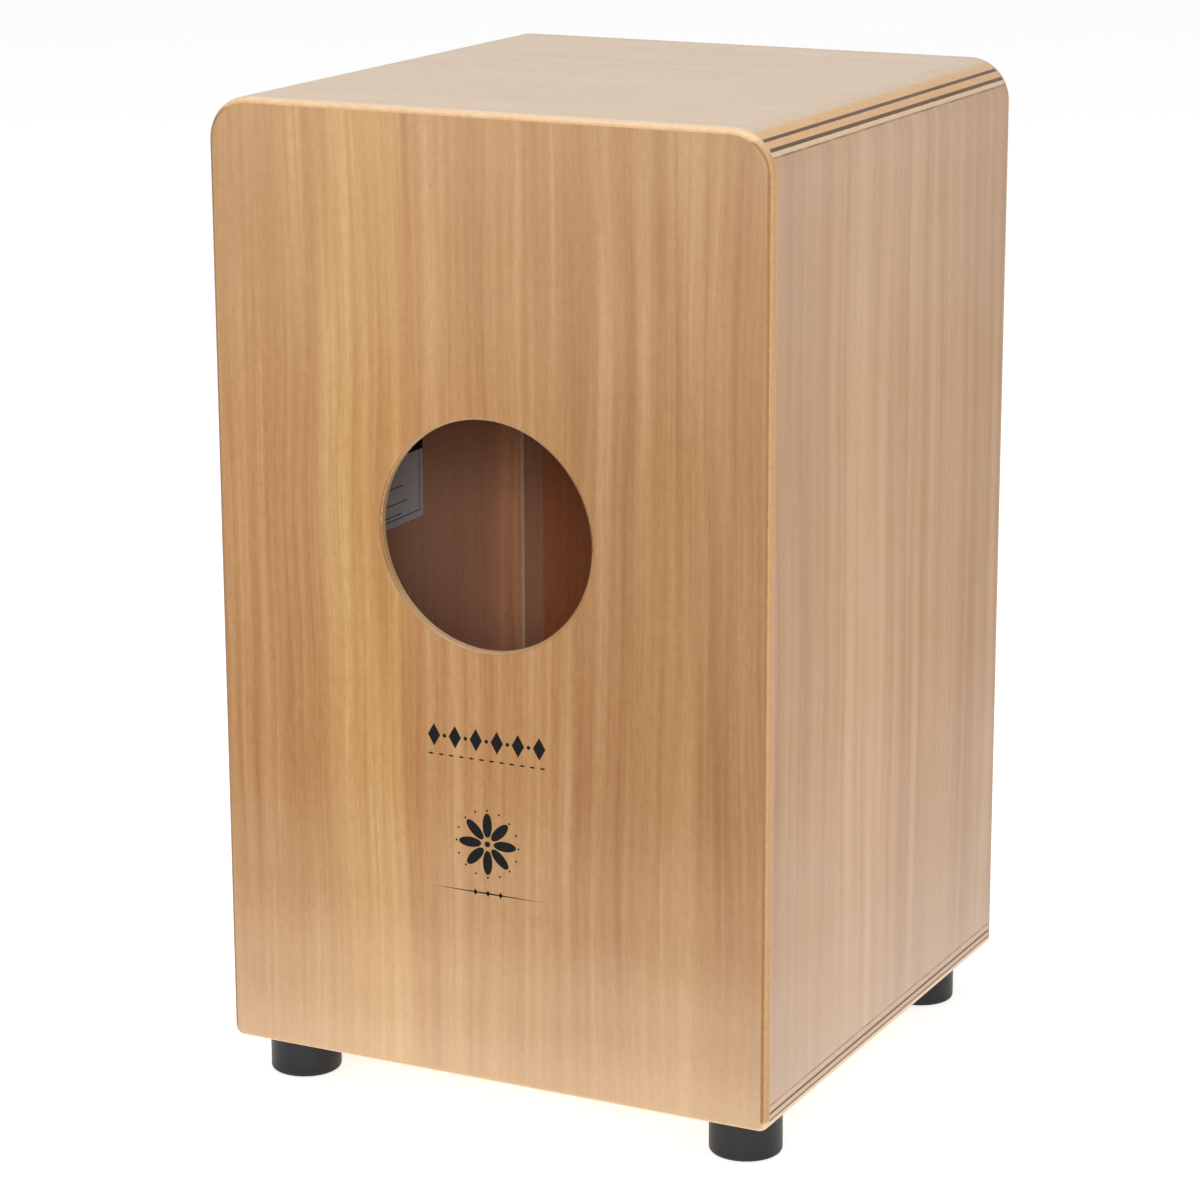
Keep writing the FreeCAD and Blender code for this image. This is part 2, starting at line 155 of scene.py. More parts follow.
for part, share in ((stripes, 0.30), (lines, given["Fleck"]), (mottle, given["Fleck"]), (fibres, 0.08)):
    figure = maths(ribbon_figure, "MULTIPLY_ADD", part, share, figure)
height = maths(ribbon_figure, "SUBTRACT", fibres, pores)
for label, socket in (("Figure", figure), ("Pores", pores), ("Height", height)):
    ribbon_figure.links.new(socket, result.inputs[label])

# Lacquer that has been handled: cloudy patches and a few short rubs in its gloss.
handled_gloss, given, result = start_group(
    "handled_gloss",
    {"Place": (VECTOR, (0, 0, 0)), "Smooth": (FLOAT, 0.35), "Rough": (FLOAT, 0.5)},
    {"Roughness": FLOAT})
clouds = noise(handled_gloss, given["Place"], (22, 22, 22), detail=4.0)
rubs = noise(handled_gloss, given["Place"], (700, 700, 90), detail=2.0)
amount = ranged(handled_gloss, maths(handled_gloss, "MULTIPLY_ADD", rubs, 0.35, clouds), 0.45, 0.9)
handled_gloss.links.new(ranged(handled_gloss, amount, 0.0, 1.0, given["Smooth"], given["Rough"]),
                        result.inputs["Roughness"])

# A thin dark glue joint: 1 on the joint, fading to 0 over Width, with small breaks along it.
glue_joint, given, result = start_group(
    "glue_joint",
    {"Place": (VECTOR, (0, 0, 0)), "Distance": (FLOAT, 0.0), "Width": (FLOAT, 0.0004)},
    {"Joint": FLOAT})
gap = maths(glue_joint, "DIVIDE", maths(glue_joint, "ABSOLUTE", given["Distance"]), given["Width"])
broken = ranged(glue_joint, noise(glue_joint, given["Place"], (90, 90, 90)), 0.3, 0.6, 0.45, 1.0)
glue_joint.links.new(maths(glue_joint, "MULTIPLY", ranged(glue_joint, gap, 0.5, 1.0, 1.0, 0.0), broken),
                     result.inputs["Joint"])


def grouped(tree, group, inputs):
    """Places a node group and returns its outputs."""
    node = put(tree, "ShaderNodeGroup", node_tree=group)
    for name, value in inputs.items():
        if isinstance(value, bpy.types.NodeSocket):
            tree.links.new(value, node.inputs[name])
        else:
            node.inputs[name].default_value = value
    return node.outputs


def start_material(name):
    """A new material: its tree, its Principled BSDF, and its object coordinates."""
    material = bpy.data.materials.new(name)
    material.use_nodes = True
    tree = material.node_tree
    place = put(tree, "ShaderNodeTexCoord").outputs["Object"]
    return material, tree, tree.nodes["Principled BSDF"], place


def paint(tree, surface, **sockets):
    """Links or sets the Principled BSDF's inputs, with _ for a space in each name."""
    for name, value in sockets.items():
        socket = surface.inputs[name.replace("_", " ")]
        if isinstance(value, bpy.types.NodeSocket):
            tree.links.new(value, socket)
        else:
            socket.default_value = value


def bumped(tree, height, distance, strength=1.0):
    return put(tree, "ShaderNodeBump", {"Strength": strength, "Distance": distance, "Height": height}
               ).outputs[0]


def veneered_board(name, grain, across, through, face_at, veneer, plies, back,
                   stripe=11 * MM, seed=0.0, fleck=0.12, bands=None, painted_light_ends=None, highlight_plies=None,
                   joints=()):
    """Plywood with a striped face veneer. grain, across and through are the board's axes, and its
    outer face lies at face_at on the last one. veneer and back are colours from dark to light, and
    plies are (depth, colour) layers. bands tint the veneer in stops across the board. A paler tint,
    with its share in stops along the grain, is painted light: the board paler towards its bottom and
    top. fleck is the share of short marks in the figure. A paler set of layers, for the edges at the
    board's ends and where its surface faces up or down, is a painted highlight along those edges."""
    material, tree, surface, place = start_material(name)
    axes = put(tree, "ShaderNodeSeparateXYZ", {0: place}).outputs
    depth = maths(tree, "SUBTRACT", face_at, maths(tree, "ABSOLUTE", axes[through]))
    depth = maths(tree, "ABSOLUTE", depth)
    sheet = maths(tree, "MULTIPLY", maths(tree, "SIGN", axes[through]),
                  maths(tree, "MULTIPLY_ADD", depth, -0.1, face_at))
    turned = put(tree, "ShaderNodeCombineXYZ",
                 {"X": axes[across], "Y": sheet, "Z": axes[grain]}).outputs[0]
    figure = grouped(tree, ribbon_figure, {"Place": turned, "Stripe Width": stripe, "Seed": seed,
                                           "Fleck": fleck})
    lighter = ranged(tree, figure["Figure"], 0.27, 0.67)
    outer = ramp(tree, lighter, list(zip((0.0, 0.4, 0.7, 1.0), veneer)))
    if bands:
        over = ranged(tree, axes[across], -half_width, half_width)
        outer = mixed(tree, 1.0, outer, ramp(tree, over, bands, "EASE"), "MULTIPLY")
    # Painted light: the veneer is mixed towards a paler tint in stops along the grain, paler towards the
    # bottom and the top of the board.
    if painted_light_ends:
        painted_light_tint, stops = painted_light_ends
        along = ranged(tree, axes[grain], box_bottom, box_top)
        share = ramp(tree, along, [(at, (amount, amount, amount, 1)) for at, amount in stops], "EASE")
        outer = mixed(tree, share, outer, painted_light_tint)
    inner = ramp(tree, lighter, list(zip((0.0, 1.0), back)))
    saw = noise(tree, place, (420, 420, 420), detail=4.0)
    ragged = maths(tree, "MULTIPLY_ADD", saw, 0.25 * MM, maths(tree, "SUBTRACT", depth, 0.125 * MM))
    thickness = plies[-1][0]
    inwards = maths(tree, "DIVIDE", ragged, thickness)
    layer = ramp(tree, inwards, [(at / thickness, tint) for at, tint in plies[:-1]], "CONSTANT")
    # Painted highlight: near the board's top and bottom ends, and where its surface faces up or down, the
    # plies are mixed towards paler layers that stand in for the light caught on the rounded edges.
    if highlight_plies:
        level = ramp(tree, inwards, [(at / thickness, tint) for at, tint in highlight_plies])
        middle = (box_bottom + box_top) / 2
        from_middle = maths(tree, "ABSOLUTE", maths(tree, "SUBTRACT", axes[grain], middle))
        highlight_near_ends = ranged(tree, from_middle, box_top - middle - 6.5 * MM, box_top - middle - 4.5 * MM)
        facing_way = put(tree, "ShaderNodeTexCoord").outputs["Normal"]
        slope = put(tree, "ShaderNodeSeparateXYZ", {0: facing_way}).outputs[grain]
        highlight_on_slopes = ranged(tree, maths(tree, "ABSOLUTE", slope), 0.3, 0.8, 0.0, 0.6)
        layer = mixed(tree, maths(tree, "MAXIMUM", highlight_near_ends, highlight_on_slopes), layer, level)
    layer = mixed(tree, 0.2, layer, ramp(tree, saw, [(0.3, shade(150, 118, 86)),
                                                      (0.7, shade(255, 236, 208))]), "MULTIPLY")
    skin, core = plies[1][0], plies[-2][0]
    in_core = maths(tree, "MULTIPLY", maths(tree, "GREATER_THAN", depth, skin),
                    maths(tree, "LESS_THAN", depth, core))
    facing = mixed(tree, maths(tree, "GREATER_THAN", depth, thickness / 2), outer, inner)
    pitted = mixed(tree, maths(tree, "MULTIPLY", figure["Pores"], 0.2), facing,
                   mixed(tree, 1.0, facing, shade(150, 112, 84), "MULTIPLY"))
    wood = mixed(tree, in_core, pitted, layer)
    for axis, at in joints:
        gap = maths(tree, "SUBTRACT", maths(tree, "ABSOLUTE", axes[axis]), at)
        joint = grouped(tree, glue_joint, {"Place": place, "Distance": gap, "Width": 0.6 * MM})["Joint"]
        wood = mixed(tree, maths(tree, "MULTIPLY", joint, 0.75), wood, shade(112, 76, 50))
    gloss = grouped(tree, handled_gloss, {"Place": turned, "Smooth": 0.38, "Rough": 0.52})
    relief = mixed(tree, in_core, figure["Height"], saw)
    paint(tree, surface, Base_Color=wood, Roughness=gloss["Roughness"],
          Normal=bumped(tree, relief, 0.05 * MM, 0.6), Coat_Weight=0.15, Coat_Roughness=0.3,
          Specular_IOR_Level=0.4)
    return material


def finish(material, *nodes):
    """Gives CAD nodes their finish."""
    for name in nodes:
        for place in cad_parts[name].material_slots:
            place.material = material


LIGHT_PLY = shade(238, 208, 166)
ORANGE_PLY = shade(230, 186, 136)
DARK_PLY = shade(98, 66, 44)
# The bottom panel's outer ply: lighter than its pink plies, with the highlight on the rounded bottom edge
# painted in.
PALE_PLY_AND_HIGHLIGHT = shade(250, 226, 194)
PINK_PLY = shade(230, 196, 166)
BROWN_PLY = shade(148, 112, 86)
RAW_INSIDE = (shade(236, 172, 136), shade(252, 208, 172))
SIDE_VENEER = (shade(184, 134, 89), shade(206, 160, 115), shade(218, 176, 132), shade(236, 197, 158))
side_finish = veneered_board(
    "side_veneer", "Z", "Y", "X", half_width, SIDE_VENEER,
    [(0, LIGHT_PLY), (2.4 * MM, LIGHT_PLY), (5 * MM, DARK_PLY), (5.6 * MM, LIGHT_PLY),
     (9 * MM, DARK_PLY), (9.6 * MM, LIGHT_PLY), (12 * MM, LIGHT_PLY), (SHELL_PLY, LIGHT_PLY)],
    RAW_INSIDE, stripe=18 * MM, seed=3.7, fleck=0.07, joints=(("Z", inside_top), ("Z", inside_bottom)),
    # Painted light: the side is paler towards its bottom and its top.
    painted_light_ends=(shade(235, 220, 205), [(0.0, 0.45), (0.1, 0.26), (0.2, 0.13), (0.4, 0.0), (0.68, 0.02),
                                 (0.85, 0.12), (1.0, 0.2)]),
    bands=[(0.05, shade(242, 241, 240)), (0.28, shade(247, 245, 240)), (0.5, shade(255, 255, 255)),
           (0.72, shade(254, 254, 253)), (0.95, shade(240, 238, 236))])
finish(side_finish, "left_side_panel", "right_side_panel")


# ---- Bottom and top panels ----------------------------------------------------------------------
# The same plywood with its grain from side to side. Their plies show along both sides of the box,
# and the top, which is the seat, has both long edges rounded and sanded through to the plies.

# The seat's veneer colours are paler, greyer and flatter than the sides' of the same plywood: the veneer
# with the sheen of the lights painted in.
TOP_VENEER_AND_SHEEN = (shade(211, 185, 156), shade(216, 192, 165), shade(220, 198, 171), shade(225, 206, 183))
top_finish = veneered_board(
    "top_veneer_and_sheen", "X", "Y", "Z", box_top, TOP_VENEER_AND_SHEEN,
    [(0, ORANGE_PLY), (2.2 * MM, ORANGE_PLY), (5.0 * MM, DARK_PLY), (6.2 * MM, ORANGE_PLY),
     (9.0 * MM, DARK_PLY), (10.6 * MM, LIGHT_PLY), (12.8 * MM, LIGHT_PLY), (SHELL_PLY, LIGHT_PLY)],
    RAW_INSIDE, stripe=14 * MM, seed=8.2, fleck=0.1, joints=(("Z", inside_top),))
bottom_finish = veneered_board(
    "bottom_veneer", "X", "Y", "Z", box_bottom,
    (shade(196, 170, 140), shade(208, 184, 152), shade(216, 194, 164), shade(224, 204, 176)),
    [(0, PALE_PLY_AND_HIGHLIGHT), (0.6 * MM, PALE_PLY_AND_HIGHLIGHT), (4.9 * MM, BROWN_PLY), (6.0 * MM, PINK_PLY),
     (8.3 * MM, DARK_PLY), (9.6 * MM, PINK_PLY), (12.6 * MM, PINK_PLY), (SHELL_PLY, PINK_PLY)],
    RAW_INSIDE, stripe=10 * MM, seed=5.1, joints=(("Z", inside_bottom),))
finish(top_finish, "top_panel")
finish(bottom_finish, "bottom_panel")


# ---- Battens ------------------------------------------------------------------------------------
# Planed softwood lengths glued into the front corners, which the front plate is screwed to.
# They are left bare, with straight grain and a few saw marks.

def bare_wood(name, grain, dark, light, seed, lit_edge=()):
    """Planed wood without lacquer, with its grain along one axis. The last argument gives two planes,
    as (axis, distance from the origin), that meet in an edge with a painted highlight along it. The
    first plane's face is painted lighter all over, as painted light."""
    material, tree, surface, place = start_material(name)
    axes = put(tree, "ShaderNodeSeparateXYZ", {0: place}).outputs
    others = [axis for axis in "XYZ" if axis != grain]
    turned = put(tree, "ShaderNodeCombineXYZ",
                 {"X": axes[others[0]], "Y": axes[others[1]], "Z": axes[grain]}).outputs[0]
    figure = grouped(tree, ribbon_figure, {"Place": turned, "Stripe Width": 5 * MM, "Seed": seed})
    saw_marks = noise(tree, turned, (60, 60, 520), detail=2.0)
    rings = ranged(tree, figure["Figure"], 0.36, 0.62)
    wood = mixed(tree, rings, dark, light)
    wood = mixed(tree, maths(tree, "MULTIPLY", figure["Pores"], 0.4), wood,
                 mixed(tree, 1.0, wood, shade(140, 104, 76), "MULTIPLY"))
    wood = mixed(tree, ranged(tree, saw_marks, 0.4, 0.7, 0.0, 0.18), wood, dark)
    if lit_edge:
        gaps = [maths(tree, "ABSOLUTE", maths(tree, "SUBTRACT", maths(tree, "ABSOLUTE", axes[axis]), at))
                for axis, at in lit_edge]
        # Painted light: the first plane's face is lightened, and the edge between the planes gets a painted
        # highlight.
        painted_lit_face = maths(tree, "MULTIPLY", maths(tree, "LESS_THAN", gaps[0], 0.3 * MM), 0.6)
        wood = mixed(tree, painted_lit_face, wood, shade(252, 206, 170))
        from_edge = maths(tree, "MAXIMUM", *gaps)
        painted_edge_highlight = ranged(tree, maths(tree, "MULTIPLY_ADD", saw_marks, 1 * MM, from_edge),
                        1.2 * MM, 2.4 * MM, 0.45, 0.0)
        wood = mixed(tree, painted_edge_highlight, wood, shade(255, 216, 180))
    gloss = grouped(tree, handled_gloss, {"Place": turned, "Smooth": 0.6, "Rough": 0.8})
    relief = maths(tree, "ADD", figure["Height"], saw_marks)
    paint(tree, surface, Base_Color=wood, Roughness=gloss["Roughness"],
          Normal=bumped(tree, relief, 0.08 * MM))
    return material


BATTEN_DARK, BATTEN_LIGHT = shade(196, 138, 100), shade(232, 178, 134)
upright_low, upright_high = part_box("right_side_batten")
# The upright battens' inner face gets painted light, and its edge a painted highlight.
upright_batten_wood = bare_wood("batten_wood_upright", "Z", BATTEN_DARK, BATTEN_LIGHT, 1.3,
                                lit_edge=(("X", upright_low.x), ("Y", -upright_high.y)))
cross_batten_wood = bare_wood("batten_wood_across", "X", BATTEN_DARK, BATTEN_LIGHT, 6.4)
finish(upright_batten_wood, "left_side_batten", "right_side_batten")
finish(cross_batten_wood, "top_batten", "left_bottom_batten", "right_bottom_batten")


# ---- Rear panel ---------------------------------------------------------------------------------
# Three-ply veneered board, 5 mm thick, with the soundhole cut in it, glued over the back of the shell.
# Its outer edges and the hole are rounded over, so the plies show as thin lines around them.

REAR_PLY = 5 * MM
AMBER_PLY, EDGE_BROWN = shade(206, 162, 112), shade(160, 116, 74)
rear_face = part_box("rear_panel")[1].y
REAR_VENEER = (shade(149, 98, 38), shade(174, 125, 63), shade(189, 144, 85), shade(207, 167, 112))
rear_finish = veneered_board(
    "rear_veneer", "Z", "X", "Y", rear_face, REAR_VENEER,
    [(0, AMBER_PLY), (0.35 * MM, EDGE_BROWN), (1.15 * MM, AMBER_PLY), (3.6 * MM, AMBER_PLY),
     (4.8 * MM, EDGE_BROWN), (REAR_PLY, EDGE_BROWN)],
    RAW_INSIDE, stripe=11 * MM, seed=0.6, fleck=0.17,
    # A painted highlight along the rounded top and bottom edges of the rear panel.
    highlight_plies=[(0.3 * MM, shade(214, 172, 124)), (1.5 * MM, shade(238, 204, 164)),
                 (4.7 * MM, shade(246, 220, 186)), (4.8 * MM, EDGE_BROWN)],
    # Painted light: the rear face is paler towards its bottom and its top.
    painted_light_ends=(shade(245, 215, 178), [(0.0, 0.47), (0.09, 0.29), (0.2, 0.11), (0.34, 0.0), (0.65, 0.03),
                                 (0.85, 0.12), (1.0, 0.19)]),
    bands=[(0.03, shade(219, 208, 214)), (0.17, shade(233, 229, 243)), (0.3, shade(222, 210, 212)),
           (0.43, shade(234, 226, 231)), (0.6, shade(239, 230, 238)), (0.63, shade(238, 222, 216)),
           (0.66, shade(255, 255, 255)), (0.77, shade(255, 255, 255)), (0.8, shade(243, 236, 240)),
           (0.97, shade(238, 228, 235))])
finish(rear_finish, "rear_panel")


# ---- Printed ornament ---------------------------------------------------------------------------
# Black ink printed on the rear panel below the soundhole: a row of lozenges over small dashes, a
# rosette of eight petals, and a fine line. The ink stands a few hundredths of a millimetre proud.

INK_DEPTH = 0.1 * MM
INK_PROUD = 0.03 * MM
INT, GEOMETRY, MATERIAL = "NodeSocketInt", "NodeSocketGeometry", "NodeSocketMaterial"
INK_OUTLINE = {"Count": INT, "Step": FLOAT, "Width": FLOAT, "Height": FLOAT, "Sides": INT}
UPRIGHT = (pi / 2, 0, 0)


def start_tree(name, sizes):
    """A Geometry Nodes tree with named inputs, a place, a turn and a finish."""
    tree = bpy.data.node_groups.new(name, "GeometryNodeTree")
    for label, kind in {**sizes, "At": VECTOR, "Turn": VECTOR, "Finish": MATERIAL}.items():
        tree.interface.new_socket(label, in_out="INPUT", socket_type=kind)
    tree.interface.new_socket("Geometry", in_out="OUTPUT", socket_type=GEOMETRY)
    return tree, put(tree, "NodeGroupInput").outputs


def end_tree(tree, given, shape):
    """Turns a tree's shape, puts it in place, realizes it and gives it its finish."""
    turn = put(tree, "FunctionNodeEulerToRotation", {0: given["Turn"]}).outputs[0]
    placed = put(tree, "GeometryNodeTransform",
                 {"Geometry": shape, "Translation": given["At"], "Rotation": turn}).outputs[0]
    solid = put(tree, "GeometryNodeRealizeInstances", {0: placed}).outputs[0]
    done = put(tree, "GeometryNodeSetMaterial", {"Geometry": solid, "Material": given["Finish"]})
    tree.links.new(done.outputs[0], put(tree, "NodeGroupOutput").inputs[0])


def ink_shape(tree, given):
    """A flat closed shape, Width by Height, with Sides corners."""
    shape = put(tree, "GeometryNodeMeshCylinder",
                {"Vertices": given["Sides"], "Radius": 0.5, "Depth": INK_DEPTH}).outputs[0]
    size = put(tree, "ShaderNodeCombineXYZ",
               {"X": given["Width"], "Y": given["Height"], "Z": 1.0}).outputs[0]
    return put(tree, "GeometryNodeTransform", {"Geometry": shape, "Scale": size}).outputs[0]


printed_row, given = start_tree("printed_row", INK_OUTLINE)
step = put(printed_row, "ShaderNodeCombineXYZ", {"X": given["Step"]}).outputs[0]
reach = maths(printed_row, "MULTIPLY", maths(printed_row, "SUBTRACT", given["Count"], 1.0), -0.5)
first = put(printed_row, "ShaderNodeVectorMath", {0: step, "Scale": reach}, operation="SCALE").outputs[0]
marks = put(printed_row, "GeometryNodeMeshLine",
            {"Count": given["Count"], "Start Location": first, "Offset": step}).outputs[0]
row = put(printed_row, "GeometryNodeInstanceOnPoints",
          {"Points": marks, "Instance": ink_shape(printed_row, given)}).outputs[0]
end_tree(printed_row, given, row)

printed_ring, given = start_tree("printed_ring", INK_OUTLINE)
marks = put(printed_ring, "GeometryNodeMeshCircle",
            {"Vertices": given["Count"], "Radius": given["Step"]}).outputs[0]
around = maths(printed_ring, "MULTIPLY", put(printed_ring, "GeometryNodeInputIndex").outputs[0],
               maths(printed_ring, "DIVIDE", 2 * pi, given["Count"]))
spin = put(printed_ring, "ShaderNodeCombineXYZ", {"Z": around}).outputs[0]
spin = put(printed_ring, "FunctionNodeEulerToRotation", {0: spin}).outputs[0]
ring = put(printed_ring, "GeometryNodeInstanceOnPoints",
           {"Points": marks, "Instance": ink_shape(printed_ring, given), "Rotation": spin}).outputs[0]
end_tree(printed_ring, given, ring)


def grow(name, tree, sizes):
    """Runs a Geometry Nodes tree with its sizes and keeps the result as a plain mesh."""
    piece = bpy.data.objects.new(name, bpy.data.meshes.new(name))
    bpy.context.scene.collection.objects.link(piece)
    modifier = piece.modifiers.new("grow", "NODES")
    modifier.node_group = tree
    for socket in tree.interface.items_tree:
        if socket.in_out == "INPUT":
            modifier[socket.identifier] = sizes[socket.name]
    depsgraph = bpy.context.evaluated_depsgraph_get()
    mesh = bpy.data.meshes.new_from_object(piece.evaluated_get(depsgraph))
    piece.modifiers.clear()
    piece.data = mesh
    return piece


def join(name, pieces):
    """One piece from several, with all their finishes."""
    with bpy.context.temp_override(active_object=pieces[0], selected_editable_objects=pieces):
        bpy.ops.object.join()
    pieces[0].name = name
    return pieces[0]


printed_ink, tree, surface, place = start_material("printed_ink")
worn_ink = ranged(tree, noise(tree, place, (900, 900, 250), detail=4.0), 0.62, 0.72, 0.0, 0.5)
paint(tree, surface, Base_Color=mixed(tree, worn_ink, shade(12, 11, 12), shade(70, 50, 34)),
      Roughness=ranged(tree, worn_ink, 0.0, 0.5, 0.5, 0.7), Specular_IOR_Level=0.15,
      Normal=bumped(tree, worn_ink, 0.03 * MM))


def print_marks(name, tree, height, count, step, width, tall, sides):
    at = (0, rear_face + INK_PROUD - INK_DEPTH / 2, height)
    return grow(name, tree, {"Count": count, "Step": step, "Width": width, "Height": tall,
                             "Sides": sides, "At": at, "Turn": UPRIGHT, "Finish": printed_ink})


ROW_Z, DASHES_Z, ROSETTE_Z, LINE_Z = 201 * MM, 191.3 * MM, 148.5 * MM, 123 * MM
ornament = join("printed_ornament", [
    print_marks("lozenges", printed_row, ROW_Z, 6, 11.6 * MM, 6.8 * MM, 11.5 * MM, 4),
    print_marks("dots", printed_row, ROW_Z, 5, 11.6 * MM, 2.0 * MM, 2.0 * MM, 16),
    print_marks("dashes", printed_row, DASHES_Z, 12, 5.6 * MM, 3.6 * MM, 1.1 * MM, 4),
    print_marks("petals", printed_ring, ROSETTE_Z, 8, 9.6 * MM, 12.5 * MM, 5.2 * MM, 20),
    print_marks("rosette_eye", printed_row, ROSETTE_Z, 1, 0.0, 3.0 * MM, 3.0 * MM, 24),
    print_marks("rosette_dots", printed_ring, ROSETTE_Z, 16, 17.2 * MM, 1.1 * MM, 1.1 * MM, 12),
    print_marks("fine_line", printed_row, LINE_Z, 1, 0.0, 63 * MM, 0.8 * MM, 4),
    print_marks("line_lozenges", printed_row, LINE_Z, 3, 7 * MM, 2.2 * MM, 3.4 * MM, 4)])
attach(ornament, "box")


# ---- Paper label --------------------------------------------------------------------------------
# A maker's blank label glued inside the right wall: white paper with a dark band along its top,
# a thin border and a few ruled lines to write on.

label_low, label_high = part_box("inner_label")
label_paper, tree, surface, place = start_material("label_paper")
axes = put(tree, "ShaderNodeSeparateXYZ", {0: place}).outputs
LABEL_BAND = 17 * MM
BORDER_INSET = 3.8 * MM
RULE_WIDTH = 0.25 * MM


def near(tree, value, at, width):
    """1 where value is within width of at."""
    return put(tree, "ShaderNodeMath", {0: value, 1: at, 2: width}, operation="COMPARE").outputs[0]


def within(tree, value, low, high):
    return maths(tree, "MULTIPLY", maths(tree, "GREATER_THAN", value, low),
                 maths(tree, "LESS_THAN", value, high))


across, up = axes["Y"], axes["Z"]
border_low, border_high = label_low + Vector([BORDER_INSET] * 3), label_high - Vector([BORDER_INSET] * 3)
in_height = within(tree, up, border_low.z, border_high.z)
printing = maths(tree, "GREATER_THAN", up, label_high.z - LABEL_BAND)
for edge in (border_low.y, border_high.y):
    printing = maths(tree, "MAXIMUM", printing,
                     maths(tree, "MULTIPLY", near(tree, across, edge, RULE_WIDTH), in_height))
for rule, short in ((3.8, 0), (6.0, 20), (12.2, 14), (21.0, 18)):
    ruled = maths(tree, "MULTIPLY", near(tree, up, label_low.z + rule * MM, RULE_WIDTH),
                  within(tree, across, border_low.y + short * MM, border_high.y))
    printing = maths(tree, "MAXIMUM", printing, ruled)
paper_fibres = noise(tree, place, (500, 500, 500), detail=4.0)
foxing = ranged(tree, noise(tree, place, (35, 35, 35), detail=3.0), 0.4, 0.8)
paper = mixed(tree, foxing, shade(250, 251, 255), shade(240, 239, 248))
paper = mixed(tree, maths(tree, "MULTIPLY", paper_fibres, 0.07), paper, shade(160, 155, 150))
paint(tree, surface, Base_Color=mixed(tree, printing, paper, shade(30, 28, 32)),
      Roughness=ranged(tree, paper_fibres, 0.3, 0.7, 0.6, 0.8),
      Normal=bumped(tree, paper_fibres, 0.04 * MM))
finish(label_paper, "inner_label")


# ---- Tuning block -------------------------------------------------------------------------------
# A beech block, milled with two upright channels, glued to the bottom panel and screwed from below.
# It is left bare, with its grain from side to side.

finish(bare_wood("block_wood_bare", "X", shade(176, 126, 84), shade(212, 168, 122), 2.9),
       "tuning_block")


# ---- Bushings and string carriages --------------------------------------------------------------
# Turned brass sleeves pressed into the bottom panel, and milled brass blocks that ride up and down
# their bolts in the block's channels.

def worked_metal(name, dull, bright, streaks, smooth, rough, metallic=1.0, marks=0.02 * MM):
    """Metal with the streaks that its tool left, along the axis that streaks are longest on."""
    material, tree, surface, place = start_material(name)
    lines = noise(tree, place, streaks, detail=3.0, roughness=0.6)
    stains = ranged(tree, noise(tree, place, (110, 110, 110), detail=4.0), 0.35, 0.7)
    tone = mixed(tree, ranged(tree, lines, 0.35, 0.65), dull, bright)
    tone = mixed(tree, maths(tree, "MULTIPLY", stains, 0.35), tone, dull)
    gloss = grouped(tree, handled_gloss, {"Place": place, "Smooth": smooth, "Rough": rough})
    paint(tree, surface, Base_Color=tone, Metallic=metallic, Roughness=gloss["Roughness"],
          Normal=bumped(tree, lines, marks))
    return material


brass = worked_metal("brass_milled", shade(150, 112, 56), shade(214, 176, 104), (300, 300, 2500),
                     0.28, 0.45)
finish(brass, "tuning_bolt_bushings", "left_string_carriage", "right_string_carriage")


# ---- Tuning bolts -------------------------------------------------------------------------------
# M6 socket-head bolts of black steel, head down. The head is knurled round its side, the socket takes
# a 5 mm hex key, and the thread carries the carriage.

BOLT_PITCH = 1 * MM
BOLT_HEAD = 6 * MM
HEAD_RADIUS = 5 * MM
SOCKET_FLAT, SOCKET_DEPTH = 2.5 * MM, 3 * MM
CORE_RADIUS, CREST_RADIUS = 2.55 * MM, 2.98 * MM
KNURLS = 40


def turned(name, profile, centre, material, sides=60):
    """A closed lathe-turned shape about a vertical axis. The profile is (radius, height) points from
    one pole to the other, with a third number on a point whose ring has that many flats."""
    mesh = bmesh.new()
    rings = []
    for radius, height, *flats in profile:
        if radius == 0:
            rings.append([mesh.verts.new(centre + Vector((0, 0, height)))] * sides)
            continue
        ring = []
        for index in range(sides):
            turn = 2 * pi * index / sides
            out = radius
            if flats:
                flat = 2 * pi / flats[0]
                out = radius / cos(turn % flat - flat / 2)
            ring.append(mesh.verts.new(centre + Vector((out * cos(turn), out * sin(turn), height))))
        rings.append(ring)
    for low, high in zip(rings, rings[1:]):
        for index in range(sides):
            after = (index + 1) % sides
            corners = dict.fromkeys((low[index], low[after], high[after], high[index]))
            mesh.faces.new(list(corners))
    bmesh.ops.recalc_face_normals(mesh, faces=mesh.faces)
    data = bpy.data.meshes.new(name)
    mesh.to_mesh(data)
    mesh.free()
    data.shade_smooth()
    data.set_sharp_from_angle(angle=radians(35))
    data.materials.append(material)
    piece = bpy.data.objects.new(name, data)
    bpy.context.scene.collection.objects.link(piece)
    return piece


# A wire of any section wound about an axis: a thread's ridge, or a string's twisted end.
winding, given = start_tree("winding", {"Radius": FLOAT, "Pitch": FLOAT, "Turns": FLOAT,
                                        "Wire": FLOAT, "Corners": INT})
coil = put(winding, "GeometryNodeCurveSpiral",
           {"Resolution": 20, "Rotations": given["Turns"], "Start Radius": given["Radius"],
            "End Radius": given["Radius"],
            "Height": maths(winding, "MULTIPLY", given["Turns"], given["Pitch"])}).outputs[0]
section = put(winding, "GeometryNodeCurvePrimitiveCircle",
              {"Resolution": given["Corners"], "Radius": given["Wire"]}).outputs[0]
wound = put(winding, "GeometryNodeCurveToMesh",
            {"Curve": coil, "Profile Curve": section, "Fill Caps": True}).outputs[0]
end_tree(winding, given, wound)

